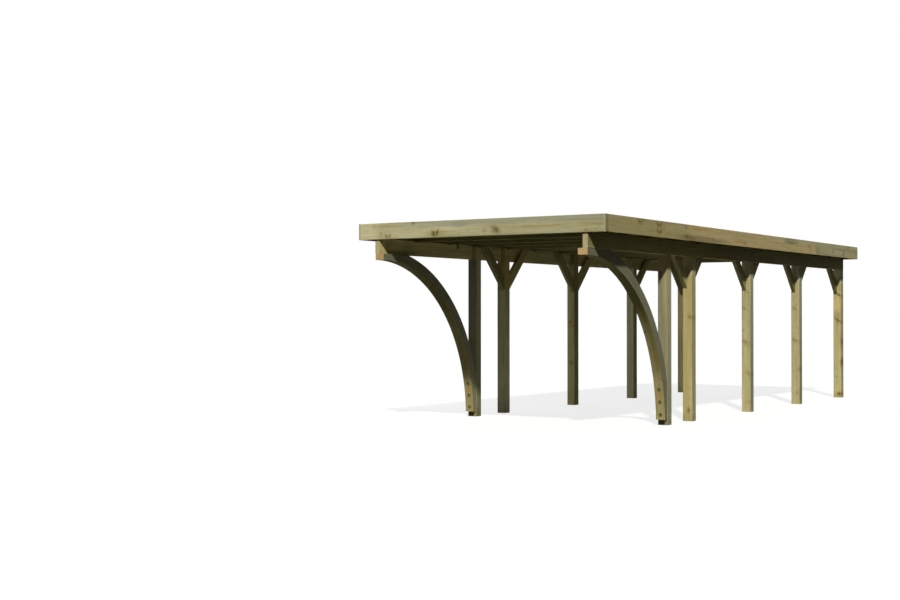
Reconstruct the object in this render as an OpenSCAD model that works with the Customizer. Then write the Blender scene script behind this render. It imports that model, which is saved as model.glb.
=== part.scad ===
// Flat-roofed timber carport with arched entry braces, posts, knee braces and a boarded roof edge.
// X runs across the drive, Y runs from the entry to the rear, Z is up from the ground.

/* [Posts] */
// Side of a square post
post_side = 120; // [90:1:160]
// Width of the planed-off corners of a post
post_ease = 6; // [2:1:12]
// Distance between the post centres across the drive
track = 2590; // [2200:10:3200]
// Distance from an arch post to the next post behind it
front_bay = 710; // [660:10:1000]
// Distance between the posts of the longer bays
bay = 1915; // [1400:5:2400]
// Height from the ground to the underside of the purlins
clear_h = 1965; // [1800:5:2400]

/* [Purlins] */
// Thickness of a purlin, let into the outer part of each post
purlin_t = 60; // [40:1:70]
// Height of a purlin
purlin_h = 175; // [140:1:240]
// Width of the planed-off corners of a purlin
purlin_ease = 4; // [1:1:8]

/* [Arches] */
// Radius of the hollow side of an arch
arch_r = 1895; // [1500:5:2300]
// Depth of the bent beam along its radius
arch_d = 120; // [90:1:160]
// Width of the bent beam across the drive
arch_w = 112; // [80:1:120]
// Depth left at the top end, where the beam lies against the purlin
arch_top = 70; // [40:1:90]
// Depth left at the foot, where the beam lies against the post
arch_toe = 60; // [40:1:80]
// Length of the level end of the arch in front of its curve
arch_tail = 26; // [10:1:200]
// Height of the arch foot above the ground
arch_foot = 65; // [20:1:100]

/* [Arch bolt recesses] */
// Diameter of a bolt recess
recess_d = 42; // [20:1:50]
// Depth of a bolt recess
recess_deep = 14; // [6:1:25]
// Height of the lowest foot recess above the arch foot
foot_bolt_first = 55; // [40:1:80]
// Distance between the foot recesses
foot_bolt_pitch = 145; // [80:1:200]
// Number of foot recesses
foot_bolt_count = 3; // [2:1:4]
// Distance from the top end to the first recess
top_bolt_first = 50; // [40:1:120]
// Distance between the top recesses
top_bolt_pitch = 215; // [80:1:300]
// Number of top recesses
top_bolt_count = 2; // [1:1:2]

/* [Knee braces] */
// Thickness of a knee brace
brace_t = 46; // [30:1:60]
// Width of a knee brace across its length
brace_w = 120; // [80:1:150]
// Distance from the post and from the purlin underside to where the lower edge meets the other
brace_leg = 378; // [300:1:420]
// Gap between the top of a knee brace or post tongue and the underside of the rafters
brace_gap = 5; // [2:1:20]

/* [Roof edge boards] */
// Thickness of an edge board
board_t = 22; // [16:1:30]
// Height of an edge board
board_h = 185; // [160:1:260]
// Width of the planed-off corners of an edge board
board_ease = 3; // [1:1:6]
// Reach of the roof beyond the outer faces of the posts
side_overhang = 215; // [100:5:400]

/* [Rafters] */
// Thickness of a rafter
rafter_t = 45; // [35:1:80]
// Height of a rafter
rafter_h = 120; // [90:1:130]
// Depth to which a rafter is cut over a purlin
rafter_notch = 15; // [5:1:25]
// Play on each side of a purlin in the rafter's cut
notch_play = 1; // [0.5:0.5:3]
// Number of rafters
rafter_count = 13; // [8:1:17]

/* [Roof covering] */
// Thickness of the roof boarding
deck_t = 19; // [15:1:28]
// Gap between the roof boarding and the edge boards
deck_gap = 4; // [1:1:10]
// Thickness of the roofing felt
felt_t = 4; // [2:1:8]
// Distance from the top of the edge boards down to the turned-up felt
felt_drop = 14; // [5:1:20]

/* [Hidden] */
SIDES = ["left", "right"];
LONG_BAYS = 3;
KNEES = [[1, "front"], [1, "rear"], [2, "front"], [2, "rear"], [3, "front"], [3, "rear"], [4, "front"]];
OVERCUT = 20;
$fn = 96;

// Levels above the ground
purlin_top = clear_h + purlin_h;
rafter_low = purlin_top - rafter_notch;
rafter_top = rafter_low + rafter_h;
deck_top = rafter_top + deck_t;
board_top = rafter_low + board_h;
tongue_top = rafter_low - brace_gap;

// Places across the drive, for the right-hand side
post_x = track / 2;
post_out = post_x + post_side / 2;
purlin_in = post_out - purlin_t;
purlin_x = post_out - purlin_t / 2;
brace_x = purlin_in - brace_t / 2;
roof_w = 2 * (post_out + side_overhang);
inner_w = roof_w - 2 * board_t;

// Places along the drive, with the middle of the roof at zero
entry_reach = post_side / 2 + arch_toe + arch_r + arch_tail + board_t;
roof_l = entry_reach + front_bay + LONG_BAYS * bay + post_side / 2 + board_t;
inner_l = roof_l - 2 * board_t;
arch_post_y = entry_reach - roof_l / 2;
function post_y(i) = arch_post_y + front_bay + (i - 1) * bay;

// Centre of the arch, so that the wanted depth is left at the top end and at the foot
arch_face_y = arch_post_y - post_side / 2;
arch_y = arch_face_y - arch_toe - arch_r;
arch_z = clear_h - arch_top - arch_r;
arch_end = arch_y - arch_tail;
arch_rise = clear_h - arch_foot;
function hollow_y(z) = arch_y + sqrt(arch_r * arch_r - (z - arch_z) * (z - arch_z));
function hollow_z(y) = arch_z + sqrt(arch_r * arch_r - max(y - arch_y, 0) * max(y - arch_y, 0));

// Rectangle about the origin with its corners planed off
module eased_section(w, h, ease) {
    x = w / 2;
    y = h / 2;
    polygon([
        [ease - x, -y], [x - ease, -y], [x, ease - y], [x, y - ease],
        [x - ease, y], [ease - x, y], [-x, y - ease], [-x, ease - y]
    ]);
}

// Puts a piece drawn for the right-hand side on the named side
module on_side(side) {
    if (side == "left") mirror([1, 0, 0]) children();
    else children();
}

// Lays an outline drawn along the drive and up, and gives it a width across the drive
module across(x, w) {
    translate([x - w / 2, 0, 0]) rotate([90, 0, 90]) linear_extrude(w) children();
}

// Runs a section drawn across the drive and up along the drive
module along(y, l, x, z) {
    translate([x, y + l, z]) rotate([90, 0, 0]) linear_extrude(l) children();
}

// Square post, cut back on its outer side so that the purlin sits on a shoulder beside a tongue
module post(y) {
    color("tan") difference() {
        translate([post_x, y, 0]) linear_extrude(tongue_top) eased_section(post_side, post_side, post_ease);
        translate([purlin_in, y - post_side / 2 - OVERCUT, clear_h])
            cube([purlin_t + OVERCUT, post_side + 2 * OVERCUT, purlin_h]);
    }
}

// Long beam on the post shoulders, from behind the front board to the rear board
module purlin() {
    color("tan") along(-inner_l / 2, inner_l, purlin_x, clear_h + purlin_h / 2)
        eased_section(purlin_t, purlin_h, purlin_ease);
}

// Outline of the bent beam: a quarter ring with a level tail, trimmed by the post, the purlin and its foot
module arch_outline() {
    intersection() {
        union() {
            intersection() {
                difference() {
                    translate([arch_y, arch_z]) circle(arch_r + arch_d);
                    translate([arch_y, arch_z]) circle(arch_r);
                }
                translate([arch_y, arch_z]) square(arch_r + arch_d);
            }
            translate([arch_y - arch_tail, arch_z + arch_r]) square([arch_tail, arch_d]);
        }
        translate([arch_end, arch_foot]) square([arch_face_y - arch_end, arch_rise]);
    }
}

// Bent beam that springs from the arch post and carries the front of the purlin
module arch() {
    color("darkkhaki") difference() {
        across(post_x, arch_w) arch_outline();
        for (i = [0 : foot_bolt_count - 1]) {
            z = arch_foot + foot_bolt_first + i * foot_bolt_pitch;
            translate([post_x, hollow_y(z) + recess_deep, z]) rotate([90, 0, 0])
                cylinder(d = recess_d, h = recess_deep + arch_d);
        }
        for (i = [0 : top_bolt_count - 1]) {
            y = arch_end + top_bolt_first + i * top_bolt_pitch;
            translate([post_x, y, hollow_z(y) + recess_deep]) rotate([180, 0, 0])
                cylinder(d = recess_d, h = recess_deep + arch_d);
        }
    }
}

// Outline of a knee brace at 45 degrees, measured from the post face and the purlin underside
module knee_outline() {
    rise = tongue_top - clear_h;
    drop = brace_w * sqrt(2);
    polygon([
        [0, -brace_leg], [brace_leg + rise, rise],
        [brace_leg + rise - drop, rise], [0, drop - brace_leg]
    ]);
}

// Knee brace from a post face up along the inner face of the purlin
module knee(y, facing) {
    turn = facing == "front" ? 1 : 0;
    reach = facing == "front" ? -post_side / 2 : post_side / 2;
    color("tan") across(brace_x, brace_t) translate([y + reach, clear_h]) mirror([turn, 0]) knee_outline();
}

// Edge board across the front or the rear, between the side boards
module end_board(y) {
    color("darkkhaki") translate([-inner_w / 2, 0, 0]) rotate([90, 0, 90]) linear_extrude(inner_w)
        translate([y, rafter_low + board_h / 2]) eased_section(board_t, board_h, board_ease);
}

// Edge board along one side, covering the ends of the front and rear boards
module side_board() {
    color("darkkhaki") along(-roof_l / 2, roof_l, (roof_w - board_t) / 2, rafter_low + board_h / 2)
        eased_section(board_t, board_h, board_ease);
}

// Outline of a rafter across the drive, cut over both purlins
module rafter_outline() {
    difference() {
        translate([-inner_w / 2, rafter_low]) square([inner_w, rafter_h]);
        for (x = [-purlin_x, purlin_x])
            translate([x - purlin_t / 2 - notch_play, rafter_low - OVERCUT])
                square([purlin_t + 2 * notch_play, rafter_notch + OVERCUT]);
    }
}

// Row of rafters from the front board to the rear board
module rafters() {
    step = (inner_l - rafter_t) / (rafter_count - 1);
    color("tan") for (i = [0 : rafter_count - 1])
        translate([0, rafter_t - inner_l / 2 + i * step, 0]) rotate([90, 0, 0]) linear_extrude(rafter_t)
            rafter_outline();
}

// Boarding laid on the rafters
module roof_boarding() {
    w = inner_w - 2 * deck_gap;
    l = inner_l - 2 * deck_gap;
    color("burlywood") translate([-w / 2, -l / 2, rafter_top]) cube([w, l, deck_t]);
}

// Roofing felt on the boarding, turned up against the edge boards
module roof_felt() {
    upstand = board_top - felt_drop - deck_top;
    color("dimgray") difference() {
        translate([-inner_w / 2, -inner_l / 2, deck_top]) cube([inner_w, inner_l, upstand]);
        translate([felt_t - inner_w / 2, felt_t - inner_l / 2, deck_top + felt_t])
            cube([inner_w - 2 * felt_t, inner_l - 2 * felt_t, upstand]);
    }
}

for (s = SIDES) {
    on_side(s) post(arch_post_y);
    for (i = [1 : LONG_BAYS + 1])
        on_side(s) post(post_y(i));
    on_side(s) purlin();
    on_side(s) arch();
    for (k = KNEES)
        on_side(s) knee(post_y(k[0]), k[1]);
    on_side(s) side_board();
}
end_board((board_t - roof_l) / 2);  // front_board
end_board((roof_l - board_t) / 2);  // rear_board
rafters();
roof_boarding();
roof_felt();
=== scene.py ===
"""Dresses the timber carport: pine finishes, roof boards, roofing felt, bolts and screws, stage and camera.

Every length is in metres, in the frame of the packed part: X across the entry, Y to the rear, Z up.
"""

from __future__ import annotations

import logging
import math
from collections.abc import Mapping, Sequence
from dataclasses import dataclass, field
from enum import Enum

import bpy
import numpy as np
from mathutils import Matrix, Vector

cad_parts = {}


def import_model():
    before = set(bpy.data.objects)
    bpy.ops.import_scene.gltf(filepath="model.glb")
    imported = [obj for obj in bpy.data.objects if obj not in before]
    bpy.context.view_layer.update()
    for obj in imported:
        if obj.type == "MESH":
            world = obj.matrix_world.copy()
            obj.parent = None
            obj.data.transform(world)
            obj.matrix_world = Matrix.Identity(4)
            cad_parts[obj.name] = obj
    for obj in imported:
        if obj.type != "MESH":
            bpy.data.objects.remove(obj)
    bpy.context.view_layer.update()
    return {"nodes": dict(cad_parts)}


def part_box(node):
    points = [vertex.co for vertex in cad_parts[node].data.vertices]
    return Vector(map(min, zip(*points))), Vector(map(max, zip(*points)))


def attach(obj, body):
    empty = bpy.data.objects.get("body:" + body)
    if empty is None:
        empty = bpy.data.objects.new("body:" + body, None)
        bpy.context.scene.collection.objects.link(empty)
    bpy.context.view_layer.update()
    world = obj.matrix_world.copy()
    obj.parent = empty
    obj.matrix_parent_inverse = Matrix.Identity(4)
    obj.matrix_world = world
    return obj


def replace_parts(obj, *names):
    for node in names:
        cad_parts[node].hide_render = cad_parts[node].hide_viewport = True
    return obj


LOG = logging.getLogger("carport")
BODY = "root"
SIDES = {"left": -1.0, "right": 1.0}
POSTS = ("arch_post", "post_1", "post_2", "post_3", "post_4")
KNEES = ("1_front", "1_rear", "2_front", "2_rear", "3_front", "3_rear", "4_front")
SLANT = math.sqrt(0.5)  # sine and cosine of the knee braces' 45 degrees
RAFTER_WIDTH = 0.045
RAFTER_COUNT = 13

Colour = tuple[float, float, float]
Vec = tuple[float, float, float]
Span = tuple[float, float]

WHITE: Colour = (1.0, 1.0, 1.0)


def display(red: int, green: int, blue: int) -> Colour:
    """Turns a colour as a display shows it, in parts of 0 to 255, into the linear one of a shader."""
    parts = (value / 255 for value in (red, green, blue))
    return tuple(c / 12.92 if c <= 0.04045 else ((c + 0.055) / 1.055) ** 2.4 for c in parts)


def scaled(colour: Colour, share: float) -> Colour:
    """Makes a colour lighter or darker by a share."""
    return tuple(c * share for c in colour)


class Socket:
    """An output socket that can be used as a number in Python expressions, each of which adds a Math node."""

    def __init__(self, graph: Graph, link: bpy.types.NodeSocket) -> None:
        """Keeps the socket and the graph that it belongs to."""
        self.graph = graph
        self.link = link

    def math(self, operation: str, *others: Socket | float) -> Socket:
        """Adds a Math node with this socket as its first value and the others after it."""
        return self.graph.node("ShaderNodeMath", {"operation": operation}, dict(enumerate((self, *others))))

    def other(self, name: str) -> Socket:
        """Gives another output of the same node."""
        return Socket(self.graph, self.link.node.outputs[name])

    def step(self, start: float, end: float) -> Socket:
        """Goes smoothly from 0 at the start value to 1 at the end value, which may be the smaller one.

        Args:
            start: The value at which the result is 0.
            end: The value at which the result is 1.

        Returns:
            The smooth step.
        """
        low, high = min(start, end), max(start, end)
        ends = {3: 0.0, 4: 1.0} if start <= end else {3: 1.0, 4: 0.0}
        settings = {"interpolation_type": "SMOOTHSTEP"}
        return self.graph.node("ShaderNodeMapRange", settings, {0: self, 1: low, 2: high, **ends})

    def __add__(self, other: Socket | float) -> Socket:
        """Adds a value."""
        return self.math("ADD", other)

    def __sub__(self, other: Socket | float) -> Socket:
        """Takes a value away."""
        return self.math("SUBTRACT", other)

    def __rsub__(self, other: float) -> Socket:
        """Takes this socket away from a number."""
        return (self * -1.0) + other

    def __mul__(self, other: Socket | float) -> Socket:
        """Multiplies by a value."""
        return self.math("MULTIPLY", other)

    def __truediv__(self, other: Socket | float) -> Socket:
        """Divides by a value."""
        return self.math("DIVIDE", other)

    def __abs__(self) -> Socket:
        """Drops the sign."""
        return self.math("ABSOLUTE")

    __radd__ = __add__


Input = Socket | float | Sequence[float]


class Graph:
    """The node tree of one material or world."""

    noise_way: Vec = (1.0, 0.7, 1.3)

    def __init__(self, tree: bpy.types.NodeTree) -> None:
        """Takes a tree and empties it."""
        self.tree = tree
        tree.nodes.clear()

    def node(
        self,
        kind: str,
        settings: Mapping[str, object] | None = None,
        sockets: Mapping[str | int, Input] | None = None,
        output: str | int = 0,
    ) -> Socket:
        """Adds a node.

        Args:
            kind: The node's type.
            settings: Its properties, which are set first.
            sockets: The values or links of its inputs, by name or number.
            output: The output to give back, by name or number.

        Returns:
            The chosen output, or the first input of a node that has no output.
        """
        made = self.tree.nodes.new(kind)
        for name, value in (settings or {}).items():
            setattr(made, name, value)
        for name, value in (sockets or {}).items():
            target = made.inputs[name]
            if isinstance(value, Socket):
                self.tree.links.new(value.link, target)
            elif target.type == "RGBA":
                target.default_value = (*value, 1.0)
            else:
                target.default_value = value
        return Socket(self, made.outputs[output] if made.outputs else made.inputs[0])

    def place(self, kind: str = "Object") -> Socket:
        """Gives the point that is shaded, in the object's own coordinates unless another kind is named."""
        return self.node("ShaderNodeTexCoord", {}, {}, kind)

    def split(self, vector: Socket) -> Socket:
        """Splits a vector and gives its X, whose other outputs are Y and Z."""
        return self.node("ShaderNodeSeparateXYZ", {}, {0: vector})

    def vector(self, operation: str, first: Input, second: Input, output: str = "Vector") -> Socket:
        """Adds a Vector Math node for two vectors."""
        return self.node("ShaderNodeVectorMath", {"operation": operation}, {0: first, 1: second}, output)

    def mix(self, share: Input, base: Input, top: Input, blend: str = "MIX") -> Socket:
        """Lays a share of one colour over another, by a blend of the Mix node."""
        settings = {"data_type": "RGBA", "blend_type": blend}
        return self.node("ShaderNodeMix", settings, {0: share, 6: base, 7: top}, 2)

    def darken(self, share: Input, base: Input, tint: Colour) -> Socket:
        """Multiplies a colour by a share of a tint."""
        return self.mix(share, base, tint, "MULTIPLY")

    def blend(self, share: Input, first: Socket, second: Socket) -> Socket:
        """Goes from one shader to another by a share."""
        return self.node("ShaderNodeMixShader", {}, {0: share, 1: first, 2: second})

    def bump(self, height: Socket, strength: float, distance: float) -> Socket:
        """Turns a height into a normal."""
        return self.node("ShaderNodeBump", {}, {"Strength": strength, "Distance": distance, "Height": height})

    def noise(self, place: Socket, scale: Vec, shift: float, detail: float) -> Socket:
        """Samples soft noise with its own spacing along each axis.

        Args:
            place: The point to sample at.
            scale: Features per metre along each axis.
            shift: An offset that makes one piece's pattern unlike another's.
            detail: How many finer layers are added.

        Returns:
            A value near 0.5 that varies from about 0.2 to 0.8.
        """
        offset = scaled(self.noise_way, shift)
        moved = self.node("ShaderNodeMapping", {}, {"Vector": place, "Location": offset, "Scale": scale})
        return self.node("ShaderNodeTexNoise", {}, {"Vector": moved, "Scale": 1.0, "Detail": detail})

    def surface(self, sockets: Mapping[str, Input]) -> None:
        """Ends the tree in a Principled surface with these values or links."""
        shader = self.node("ShaderNodeBsdfPrincipled", {}, sockets)
        self.node("ShaderNodeOutputMaterial", {}, {"Surface": shader})


def new_graph(name: str) -> tuple[bpy.types.Material, Graph]:
    """Makes a material with an empty node tree.

    Args:
        name: The material's name.

    Returns:
        The material and its graph.
    """
    material = bpy.data.materials.new(name)
    material.use_nodes = True
    return material, Graph(material.node_tree)


@dataclass(frozen=True)
class TimberTone:
    """The colours of one batch of treated pine, as seen in even light."""

    pale: Colour
    deep: Colour
    green: Colour
    grey: Colour
    end: Colour
    knot: Colour = display(70, 56, 28)


class Batch(Enum):
    """The batches of timber that the carport is cut from."""

    EDGE_BOARD = TimberTone(
        pale=display(184, 179, 144),
        deep=display(157, 151, 114),
        green=display(149, 150, 115),
        grey=display(152, 153, 132),
        end=display(152, 148, 118),
    )
    POST = TimberTone(
        pale=display(190, 179, 132),
        deep=display(168, 156, 108),
        green=display(160, 158, 116),
        grey=display(150, 151, 124),
        end=display(182, 164, 122),
    )
    BEAM = TimberTone(
        pale=display(146, 140, 98),
        deep=display(118, 111, 71),
        green=display(112, 112, 76),
        grey=display(112, 111, 86),
        end=display(168, 156, 120),
    )
    ARCH = TimberTone(
        pale=display(142, 133, 87),
        deep=display(119, 110, 68),
        green=display(110, 108, 68),
        grey=display(120, 121, 102),
        end=display(178, 150, 108),
    )
    ROOF = TimberTone(
        pale=display(148, 143, 98),
        deep=display(124, 119, 75),
        green=display(117, 117, 78),
        grey=display(118, 117, 88),
        end=display(150, 136, 100),
    )


class Grain(Enum):
    """The way a piece's grain runs, as its direction and the direction of the piece's thinner side."""

    UP = ((0.0, 0.0, 1.0), (0.0, 1.0, 0.0))
    BACK = ((0.0, 1.0, 0.0), (1.0, 0.0, 0.0))
    ACROSS = ((1.0, 0.0, 0.0), (0.0, 1.0, 0.0))
    RISING_BACK = ((0.0, SLANT, SLANT), (1.0, 0.0, 0.0))
    RISING_FRONT = ((0.0, -SLANT, SLANT), (1.0, 0.0, 0.0))

    def turn(self) -> Matrix:
        """Gives the turn that takes a point to its wide, thin and along coordinates."""
        along, thin = (Vector(way) for way in self.value)
        return Matrix((thin.cross(along), thin, along))


@dataclass(frozen=True)
class Pattern:
    """Noise that runs with the grain: features per metre across and along it, an offset, and finer layers.

    The span is the noise value at which the pattern starts to show, and the one at which it shows in full.
    """

    across: float
    along: float
    offset: float
    detail: float
    span: Span = (0.0, 1.0)


class Layer(Enum):
    """The layers of noise in a timber finish."""

    SWAY = Pattern(3.0, 0.7, 0.0, 2.0)
    TONE = Pattern(14.0, 0.45, 3.1, 3.0, (0.34, 0.66))
    GREEN = Pattern(5.0, 0.9, 7.7, 3.0, (0.45, 0.68))
    GREY = Pattern(9.0, 0.3, 12.9, 2.0, (0.46, 0.68))
    STREAK = Pattern(95.0, 1.6, 21.3, 3.0, (0.58, 0.36))
    FIBRE = Pattern(900.0, 14.0, 30.1, 2.0, (0.60, 0.35))
    CHECK = Pattern(38.0, 0.8, 40.7, 1.0, (0.009, 0.002))
    CHECK_AREA = Pattern(4.0, 0.9, 51.9, 1.0, (0.56, 0.66))
    KNOT_EDGE = Pattern(70.0, 50.0, 60.3, 2.0)
    KNOT_FLECK = Pattern(16.0, 85.0, 71.1, 1.0, (0.36, 0.58))
    MOTTLE = Pattern(26.0, 10.0, 80.5, 3.0, (0.50, 0.30))

    def shown(self, noise: Socket) -> Socket:
        """Goes from 0 to 1 over the layer's span."""
        return noise.step(*self.value.span)


class KnotKind(Enum):
    """Where a knot's heart and the stain around it start and are full, in knot radii."""

    SCATTERED = ((1.2, 0.5), (2.8, 0.8))
    PLACED = ((1.2, 0.2), (2.6, 0.6))

    def shown(self, reach: Socket, strength: float) -> tuple[Socket, Socket]:
        """Gives the heart and the stain at a distance from the knot's middle, each up to a strength."""
        return tuple(reach.step(*span) * strength for span in self.value)


@dataclass(frozen=True)
class Knot:
    """A knot that shows on a piece.

    Its place is along the grain and across the face from the piece's middle. Stretch is how many times longer
    it is along the grain than across it, strength is how dark it is, and lean is how far it rises across the
    face.
    """

    along: float
    wide: float
    radius: float = 0.020
    stretch: float = 1.0
    strength: float = 0.45
    lean: float = 0.0


def v_knot(along: float, wide: float, strength: float) -> tuple[Knot, Knot]:
    """Makes the two strokes of a knot that the saw has cut lengthwise, which shows as a V."""
    reach, lean, radius, stretch = 0.030, 1.2, 0.022, 1.2
    return tuple(Knot(along + way * reach, wide, radius, stretch, strength, way * lean) for way in (-1, 1))


@dataclass(frozen=True)
class Patch:
    """A patch of another tone on a piece, such as a stain; some patches are painted light and shade.

    It has a middle, along the grain and across the face, and half a length and half a width. Share is how
    much of its colour shows, and soft is how far its edge fades, as a share of its half size.
    """

    along: float
    wide: float
    length: float
    width: float
    colour: Colour
    share: float = 0.5
    soft: float = 0.4


EVERYWHERE = 9.0  # half the length or width of a patch that goes past a piece's edges


def tint(colour: Colour, share: float = 0.5) -> Patch:
    """Makes a patch that covers a whole piece."""
    return Patch(0.0, 0.0, EVERYWHERE, EVERYWHERE, colour, share)


def band(along: float, length: float, colour: Colour, share: float, soft: float = 0.4) -> Patch:
    """Makes a patch that covers a stretch of a piece over its full width."""
    return Patch(along, 0.0, length, EVERYWHERE, colour, share, soft)


@dataclass(frozen=True)
class Bend:
    """The circle that a bent beam follows in the plane of its side, and the layers that it is glued from."""

    y: float
    z: float
    radius: float
    layer: float = 0.030


class Cut:
    """What each part of a timber finish reads: a piece's own coordinates, and 1 on its end grain."""

    def __init__(self, place: Socket, end_grain: Socket) -> None:
        """Splits the coordinates into wide, thin and along.

        Args:
            place: The wide, thin and along coordinates.
            end_grain: How squarely a face cuts the grain, from 0 to 1.
        """
        self.g = place.graph
        self.place = place
        self.end_grain = end_grain
        self.wide = self.g.split(place)
        self.thin = self.wide.other("Y")
        self.along = self.wide.other("Z")


@dataclass(frozen=True)
class TimberFinish:
    """Planed, pressure treated pine, worked out as a solid so that every cut shows the same log.

    Rings are circles about a pith beside or within the piece. Streaks, patches and checks run along the
    grain, and knots are round marks that the rings bend around. The side faces can have tones of their own,
    at the foot and at the head, and so can everything above a height. On the posts the side tones are partly
    the wood's and partly painted light and shade, and the tone above a height is painted shade.
    """

    batch: Batch
    grain: Grain
    centre: Vec
    seed: float
    # Lightness of the piece's wood; on posts, purlins and knee braces also painted light and shade for how
    # each is lit.
    shade: float = 1.0
    greyness: float = 0.35
    side_share: float = 0.0
    # Side tones at the foot and at the head: partly the sides' greyer wood, partly painted light and shade
    # for how each side is lit.
    side_tones_and_painted_light: tuple[Colour, Colour] | None = None
    # Painted shade: one flat tone for everything above head_from, the colour of a post's head in the roof's
    # shade.
    painted_head_shade: Colour | None = None
    head_from: float = 0.905
    mottle: float = 0.25
    sap_edge: float | None = None
    damp_foot: bool = False
    knots: tuple[Knot, ...] = ()
    patches: tuple[Patch, ...] = ()
    bend: Bend | None = None
    pith: tuple[float, float] = (0.035, -0.060)
    ring: float = 0.0048
    checks: float = 0.8
    knot_cell: Vec = (0.16, 0.16, 0.55)
    knot_way: Vec = (1.0, 0.6, 0.37)
    knot_radius: float = 0.012
    knot_strength: float = 0.5
    board_shift: str = ""
    green_share: float = 0.7
    late_share: float = 0.40
    streak_share: float = 0.48
    fibre_share: float = 0.22
    grain_dark: Colour = (0.74, 0.68, 0.56)
    knot_stain: Colour = (0.66, 0.58, 0.44)
    knot_least: float = 0.35
    check_dark: Colour = (0.035, 0.028, 0.015)
    end_ring: Colour = (0.72, 0.64, 0.50)
    end_ring_share: float = 0.35
    end_blotch: Span = (0.5, 0.75)
    end_blotch_share: float = 0.4
    damp: Colour = (0.62, 0.64, 0.56)
    damp_heights: Span = (0.17, 0.09)
    damp_sway: float = 0.10
    damp_share: float = 0.55
    side_facing: Span = (0.6, 0.9)
    side_run: Span = (-1.0, 0.8)
    head_soft: float = 0.015
    sap_sway: float = 0.06
    sap_fade: Span = (-0.005, 0.010)
    sap_run: Span = (-1.25, -0.55)
    sap_share: float = 0.8
    ring_sway: tuple[float, float] = (0.030, 0.018)
    ring_bend: float = 1.6
    roughness: float = 0.70
    fibre_rough: float = 0.16
    knot_polish: float = 0.15
    shine: float = 0.06
    relief: float = 0.35
    relief_depth: float = 0.0012
    rises: tuple[float, float, float] = (0.5, 0.35, 0.25)
    check_sink: float = 1.6
    knot_sink: float = 0.4

    def material(self, name: str) -> bpy.types.Material:
        """Builds the finish.

        Args:
            name: The material's name.

        Returns:
            The material.
        """
        material, g = new_graph(name)
        tone = self._tone()
        normal = g.node("ShaderNodeNewGeometry", {}, {}, "Normal")
        cut = self._bent(g, normal) if self.bend else self._straight(g, normal)
        knot, halo = self._knots(cut)
        late = self._rings(cut, halo)
        check = self._checks(cut)
        layers = (Layer.STREAK, Layer.FIBRE, Layer.MOTTLE, Layer.GREEN)
        streak, fibre, mottle, patch = (self._noise(cut, layer) for layer in layers)

        colour = self._base(cut, patch)
        # The sides take their own tones from foot to head; on the posts these are partly painted light and
        # shade.
        side = abs(g.split(normal)).step(*self.side_facing)
        foot, head = self.side_tones_and_painted_light or (tone.grey, tone.grey)
        colour = g.mix(side * self.side_share, colour, g.mix(cut.along.step(*self.side_run), foot, head))
        if self.bend:
            colour = self._layers(cut, colour, side)
        # Painted shade: above a height the piece takes the flat tone of its shaded head.
        if self.painted_head_shade:
            above = cut.along.step(self.head_from - self.head_soft, self.head_from + self.head_soft)
            colour = g.mix(above, colour, self.painted_head_shade)
        for mark, share in (
            (late, self.late_share),
            (Layer.STREAK.shown(streak), self.streak_share),
            (Layer.MOTTLE.shown(mottle), self.mottle),
            (Layer.FIBRE.shown(fibre), self.fibre_share),
        ):
            colour = g.darken(mark * share, colour, self.grain_dark)
        colour = g.mix(knot, g.darken(halo, colour, self.knot_stain), tone.knot)
        end = g.darken(late * self.end_ring_share, tone.end, self.end_ring)
        end = g.mix(patch.step(*self.end_blotch) * self.end_blotch_share, end, tone.deep)
        colour = g.mix(cut.end_grain, colour, end)
        colour = g.mix(check, colour, self.check_dark)
        if self.damp_foot:
            dry, wet = (height - self.centre[2] for height in self.damp_heights)
            line = (cut.along + patch * self.damp_sway).step(dry, wet)
            colour = g.darken(line * self.damp_share, colour, self.damp)

        height = streak * self.rises[0] + fibre * self.rises[1] + late * self.rises[2]
        height = height - check * self.check_sink - knot * self.knot_sink
        rough = self.roughness + fibre * self.fibre_rough - knot * self.knot_polish
        bump = g.bump(height, self.relief, self.relief_depth)
        surface = {"Base Color": colour, "Roughness": rough, "Normal": bump}
        g.surface({**surface, "Specular IOR Level": self.shine})
        return material

    def _tone(self) -> TimberTone:
        """Gives the batch's colours with this piece's own shade.

        Returns:
            The colours, of which end grain and knots keep the batch's own.
        """
        t = self.batch.value
        shades = (scaled(c, self.shade) for c in (t.pale, t.deep, t.green, t.grey))
        return TimberTone(*shades, t.end)

    def _noise(self, cut: Cut, layer: Layer) -> Socket:
        """Samples a layer of noise, moved by the piece's own seed."""
        p = layer.value
        return cut.g.noise(cut.place, (p.across, p.across, p.along), self.seed + p.offset, p.detail)

    def _straight(self, g: Graph, normal: Socket) -> Cut:
        """Gives a straight piece's own coordinates, from its centre.

        Args:
            g: The graph.
            normal: The face's direction.

        Returns:
            The piece's coordinates and its end grain.
        """
        turn = self.grain.turn()
        moved = {"Location": -(turn @ Vector(self.centre)), "Rotation": turn.to_euler("XYZ")}
        place = g.node("ShaderNodeMapping", {}, {"Vector": g.place(), **moved})
        if self.board_shift:
            pick = g.node("ShaderNodeAttribute", {"attribute_name": self.board_shift}, {}, "Vector")
            place = g.vector("ADD", place, pick)
        facing = g.vector("DOT_PRODUCT", normal, self.grain.value[0], "Value")
        return Cut(place, abs(facing).step(0.80, 0.95))

    def _bent(self, g: Graph, normal: Socket) -> Cut:
        """Gives a bent beam's own coordinates: across, depth from its middle line, and length along its arc.

        Args:
            g: The graph.
            normal: The face's direction.

        Returns:
            The beam's coordinates and its end grain.
        """
        x = g.split(g.place())
        y, z = x.other("Y") - self.bend.y, x.other("Z") - self.bend.z
        reach = (y * y + z * z).math("SQRT")
        arc = y.math("ARCTAN2", z) * self.bend.radius
        across, depth = x - self.centre[0], reach - self.bend.radius
        place = g.node("ShaderNodeCombineXYZ", {}, {0: across, 1: depth, 2: arc})
        facing = g.split(normal)
        square = (facing.other("Y") * z - facing.other("Z") * y) / reach
        return Cut(place, abs(square).step(0.85, 0.97))

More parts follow.
